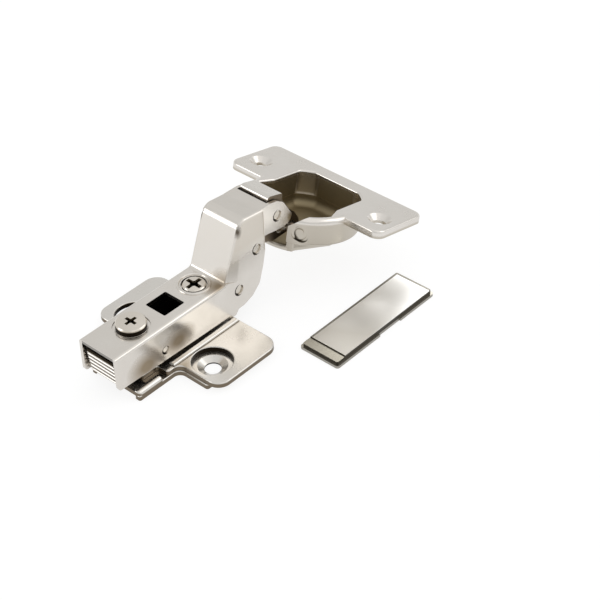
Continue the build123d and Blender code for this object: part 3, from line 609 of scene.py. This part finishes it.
def cap_rim_shade(tree, where, normal):
    """Painted shade along the far side and the far end of the raised top."""
    return both(tree, behind(tree, where, FAR_SIDE), behind(tree, where, FAR_END), "MAXIMUM")


def within(faces):
    """A mask for everything behind these faces."""
    def mask(tree, where, normal):
        return behind(tree, where, faces)
    return mask


# The grey end, rim, step, flank and lip colours below are painted light and shade.
cap_nickel = plated("buffed_nickel_with_painted_light_on_the_cap", "#FFFFFD", "#FBFAF7", 0.36, 0.42, [
    (within(PAINTED_GREY_END), "#CBC7BF", 0.4), (cap_rim_shade, "#8A867D", 0.35),
    (within(STEP), "#A8A396", 0.26), (cap_flank_shade, "#4A463F", 0.3),
    (within(LIP), "#A9A59D", 0.32)], depth=CAP_GRAIN_DEPTH_MM)
print("cap finish:", len(cap_nickel.node_tree.nodes), "nodes")

# %% [markdown]
# ## Dressing the parts
#
# Each part of the frame names what it is made of. One table turns that name
# into a finish, and one screw has a finish of its own. The material goes in the
# object's slot and not in the mesh's, so the mesh itself is left untouched.

# %% Which part gets which metal
FINISH = {
    "satin_nickel_plate": plate_nickel,
    "satin_nickel_arm": arm_nickel,
    "satin_nickel_cup": cup_nickel,
    "link_steel": plate_nickel,
    "carriage_steel": nickel_painted_dark_inside,
    "rivet_steel": rivet_nickel,
    "rod_steel": rivet_nickel,
    "screw_nickel": depth_nickel,
    "cam_zinc": nickel_painted_dark_inside,
    "bright_nickel_lever": lever_nickel,
    "mirror_nickel_cap": cap_nickel,
    "spring_wire": wire_steel,
    "dark_plastic": black_acetal,
}
OWN_FINISH = {"side_screw": side_nickel}


def dress(part, material):
    """Put one material in every slot of a CAD part."""
    if not part.material_slots:
        part.data.materials.append(None)
    for slot in part.material_slots:
        slot.link = "OBJECT"
        slot.material = material


for entry in frame["record"]["subparts"]:
    finish = OWN_FINISH.get(entry["node"], FINISH[entry["material_slot"]])
    dress(NODES[entry["node"]], finish)
print("dressed", len(NODES), "parts")

# %% [markdown]
# ## Springs wound from wire
#
# A torsion spring is one wire: a straight leg, some whole turns and a part of a
# turn, and a second leg. Each leg leaves the coil along its tangent, so the
# number of turns is never whole: it follows from where the two legs end.
#
# A short Python function works out the middle line of the wire. Geometry Nodes
# then does what it is best at: it sweeps one round section along that line. The
# wire's radius and the number of sides are inputs of the tree, so both springs
# share it.

# %% One node tree that turns a line into wire
def wire_tree():
    tree = bpy.data.node_groups.new("wire_along_line", "GeometryNodeTree")
    for name, kind in (("Geometry", "Geometry"), ("Wire radius", "Float"),
                       ("Sides", "Int"), ("Metal", "Material")):
        tree.interface.new_socket(name, in_out="INPUT", socket_type="NodeSocket" + kind)
    tree.interface.new_socket("Geometry", in_out="OUTPUT", socket_type="NodeSocketGeometry")
    given = add(tree, "NodeGroupInput").outputs
    line = add(tree, "GeometryNodeMeshToCurve", {"Mesh": given["Geometry"]})
    ring = add(tree, "GeometryNodeCurvePrimitiveCircle", {
        "Resolution": given["Sides"], "Radius": given["Wire radius"]})
    wire = add(tree, "GeometryNodeCurveToMesh", {
        "Curve": line.outputs["Curve"], "Profile Curve": ring.outputs["Curve"],
        "Fill Caps": True})
    smooth = add(tree, "GeometryNodeSetShadeSmooth", {"Geometry": wire.outputs["Mesh"]})
    whole = add(tree, "GeometryNodeRealizeInstances", {"Geometry": smooth.outputs[0]})
    metal = add(tree, "GeometryNodeSetMaterial", {
        "Geometry": whole.outputs[0], "Material": given["Metal"]})
    add(tree, "NodeGroupOutput", {"Geometry": metal.outputs[0]})
    return tree


WIRE_TREE = wire_tree()
print("wire tree inputs:", [s.name for s in WIRE_TREE.interface.items_tree if s.in_out == "INPUT"])

# %% The middle line of a torsion spring
STEP_ANGLE = math.radians(7.5)
FULL_TURN = 2 * math.pi


def torsion_line(axis_xz, radius, half, turns, start_xz, end_xz):
    """Points in mm: a leg, the coil round an axis along Y, and the other leg, wound clockwise.

    half is half the coil's length, and turns counts the whole turns.
    """
    def tangent_angle(leg_xz, side):
        dx, dz = leg_xz[0] - axis_xz[0], leg_xz[1] - axis_xz[1]
        return math.atan2(dz, dx) + side * math.acos(radius / math.hypot(dx, dz))

    first = tangent_angle(start_xz, -1)
    last = tangent_angle(end_xz, 1)
    sweep = (first - last) % FULL_TURN + turns * FULL_TURN
    steps = round(sweep / STEP_ANGLE)
    line = [(start_xz[0], -half, start_xz[1])]
    for i in range(steps + 1):
        angle = first - sweep * i / steps
        line.append((axis_xz[0] + radius * math.cos(angle), -half + 2 * half * i / steps,
                     axis_xz[1] + radius * math.sin(angle)))
    line.append((end_xz[0], half, end_xz[1]))
    return line


CLOSING_LINE = torsion_line(axis_xz=(38.7, 28.3), radius=2.45, half=3.4, turns=5,
                            start_xz=(30.4, 32.2), end_xz=(29.6, 25.62))
LEVER_LINE = torsion_line(axis_xz=(-17.5, 10.5), radius=1.8, half=2.3, turns=4,
                          start_xz=(-20.1, 13.08), end_xz=(-15.9, 7.6))
print("points along the two wires:", len(CLOSING_LINE), "and", len(LEVER_LINE))

# %% Wind the two springs
WIRE_SIDES = 20


def wound_spring(name, node, body, wire_radius, line):
    """One wire along the line, as a plain mesh in place of the CAD spring."""
    mesh = bpy.data.meshes.new(name + "_line")
    edges = [(i, i + 1) for i in range(len(line) - 1)]
    mesh.from_pydata([[v * MM for v in point] for point in line], edges, [])
    draft = bpy.data.objects.new(name + "_draft", mesh)
    bpy.context.scene.collection.objects.link(draft)
    maker = draft.modifiers.new("wire", "NODES")
    maker.node_group = WIRE_TREE
    values = {"Wire radius": wire_radius * MM, "Sides": WIRE_SIDES, "Metal": wire_steel}
    for item in WIRE_TREE.interface.items_tree:
        if item.in_out == "INPUT" and item.name in values:
            maker[item.identifier] = values[item.name]
    bpy.context.view_layer.update()
    made = bpy.data.meshes.new_from_object(
        draft.evaluated_get(bpy.context.evaluated_depsgraph_get()))
    bpy.data.objects.remove(draft)
    spring = bpy.data.objects.new(name, made)
    bpy.context.scene.collection.objects.link(spring)
    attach(spring, body)
    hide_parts(node)
    print(name, "has", len(made.polygons), "faces")


wound_spring("wound_closing_spring", "closing_spring", "arm",
             wire_radius=0.5, line=CLOSING_LINE)
wound_spring("wound_lever_spring", "lever_spring", "upper_plate",
             wire_radius=0.3, line=LEVER_LINE)

# %% [markdown]
# ## The table
#
# Bare metal shows its surroundings more than its own colour. A white table and
# a pale room give it the calm greys of a catalogue picture. The table is a
# plain matt sheet for the light that falls on the hinge. To the camera, and in
# the metal's reflections, it also glows a little, so that it looks white while
# the hinge's shadow on it stays.

# %% Table
TABLE_SIZE = 4.0
TABLE_GAP = 0.02 * MM
GLOW_IN_METAL = 0.68
GLOW_TO_CAMERA = 0.84


def table_finish():
    material, tree, _ = new_material("matt_white_table")
    tree.nodes.clear()
    ray = add(tree, "ShaderNodeLightPath").outputs
    seen = both(tree, ray["Is Camera Ray"], ray["Is Glossy Ray"], "MAXIMUM")
    seen = both(tree, seen, ray["Is Transmission Ray"], "MAXIMUM")
    paper = add(tree, "ShaderNodeBsdfDiffuse", {"Color": colour("#E4E4E4")})
    dim = add(tree, "ShaderNodeBsdfDiffuse", {"Color": colour("#818181")})
    level = add(tree, "ShaderNodeMapRange", {
        "Value": ray["Is Camera Ray"], "To Min": GLOW_IN_METAL,
        "To Max": GLOW_TO_CAMERA}).outputs["Result"]
    glow = add(tree, "ShaderNodeEmission", {"Color": colour("#FFFFFF"), "Strength": level})
    lit = add(tree, "ShaderNodeAddShader", {0: dim.outputs[0], 1: glow.outputs[0]})
    mix = add(tree, "ShaderNodeMixShader", {
        0: seen, 1: paper.outputs[0], 2: lit.outputs[0]})
    add(tree, "ShaderNodeOutputMaterial", {"Surface": mix.outputs[0]})
    return material


def make_table():
    mesh = bpy.data.meshes.new("table")
    half = TABLE_SIZE / 2
    z = cad_box[0][2] - TABLE_GAP
    corners = [(-half, -half, z), (half, -half, z), (half, half, z), (-half, half, z)]
    mesh.from_pydata(corners, [], [(0, 1, 2, 3)])
    mesh.materials.append(table_finish())
    table = bpy.data.objects.new("table", mesh)
    bpy.context.scene.collection.objects.link(table)


make_table()
print("table of", TABLE_SIZE, "m, just under the hinge")

# %% [markdown]
# ## The room's light
#
# The world is a soft band of greys from the horizon to the ceiling, which the
# satin faces mirror as slow gradients. Above about 36 degrees on the right it
# has a brighter card. The level tops mirror the card's edge, so each of them
# goes from grey to pale along its length. The camera itself sees a white world.

# %% Room
# Each stop of the band: height, red and green, blue.
BAND = ((0.0, 0.86, 0.85), (0.2, 0.72, 0.7128), (0.45, 0.66, 0.6534),
        (0.64, 0.66, 0.6534), (0.8, 0.74, 0.7326), (1.0, 0.80, 0.80))
CARD_LEVEL = (0.9, 0.893, 0.885, 1)
CARD_EDGE_WAY = (-0.749, 0.663, 0)
WHITE = (1, 1, 1, 1)


def grey_band(tree, height):
    ramp = add(tree, "ShaderNodeValToRGB", {"Fac": height})
    stops = ramp.color_ramp.elements
    stops[0].position, stops[1].position = BAND[0][0], BAND[-1][0]
    for place, _, _ in BAND[1:-1]:
        stops.new(place)
    for stop, (_, level, blue) in zip(stops, BAND):
        stop.color = (level, level, blue, 1)
    return ramp.outputs["Color"]


def make_room():
    world = bpy.data.worlds.new("pale_studio")
    bpy.context.scene.world = world
    world.use_nodes = True
    tree = world.node_tree
    tree.nodes.clear()
    way = add(tree, "ShaderNodeTexCoord").outputs["Generated"]
    height = add(tree, "ShaderNodeSeparateXYZ", {"Vector": way}).outputs["Z"]
    right = facing(tree, way, CARD_EDGE_WAY, 0.045, -0.045)
    high = facing(tree, way, UP_WAY, 0.58, 0.64)
    shade = add(tree, "ShaderNodeMix", {
        0: both(tree, right, high), 6: grey_band(tree, height), 7: CARD_LEVEL},
        data_type="RGBA").outputs[2]
    room = add(tree, "ShaderNodeBackground", {"Color": shade, "Strength": 1.0})
    white = add(tree, "ShaderNodeBackground", {"Color": WHITE, "Strength": 1.0})
    seen = add(tree, "ShaderNodeLightPath").outputs["Is Camera Ray"]
    mix = add(tree, "ShaderNodeMixShader", {0: seen, 1: room.outputs[0], 2: white.outputs[0]})
    add(tree, "ShaderNodeOutputWorld", {"Surface": mix.outputs[0]})
    return world


print("room:", len(make_room().node_tree.nodes), "nodes")

# %% [markdown]
# ## The lamps
#
# Two large soft boxes give the walls their light and shade. A third, small one
# hangs over the loose cap and lights the cap alone, by light linking: the cap
# lies low and flat, and one bright end is what makes its buffed top read as
# metal, while on the flange beside it the same lamp would be one glare.

# %% Lamps
def make_lamp(name, at_mm, aim_mm, size_mm, watts):
    data = bpy.data.lights.new(name, "AREA")
    data.size = size_mm * MM
    data.energy = watts
    lamp = bpy.data.objects.new(name, data)
    lamp.visible_camera = False
    at = Vector(at_mm) * MM
    away = (at - Vector(aim_mm) * MM).normalized()
    lamp.matrix_world = Matrix.Translation(at) @ away.to_track_quat("Z", "Y").to_matrix().to_4x4()
    bpy.context.scene.collection.objects.link(lamp)
    return lamp


def light_only(lamp, part):
    lit = bpy.data.collections.new(lamp.name + "_lights")
    lit.objects.link(part)
    lamp.light_linking.receiver_collection = lit


make_lamp("softbox_right", at_mm=(440, -380, 440), aim_mm=(10, -10, 10),
          size_mm=460, watts=0.52)
cap_lamp = make_lamp("card_over_the_cap", at_mm=(158, 36.5, 96), aim_mm=(55, -36, 2.3),
                     size_mm=62, watts=0.034)
light_only(cap_lamp, NODES["cover_cap"])
make_lamp("softbox_left", at_mm=(-560, 380, 300), aim_mm=(20, 0, 15),
          size_mm=380, watts=0.8)

# %% [markdown]
# ## Finish
#
# The view is left in plain sRGB, so that a hex colour looks as it is written.

# %% Finish
bpy.context.scene.view_settings.view_transform = "Standard"
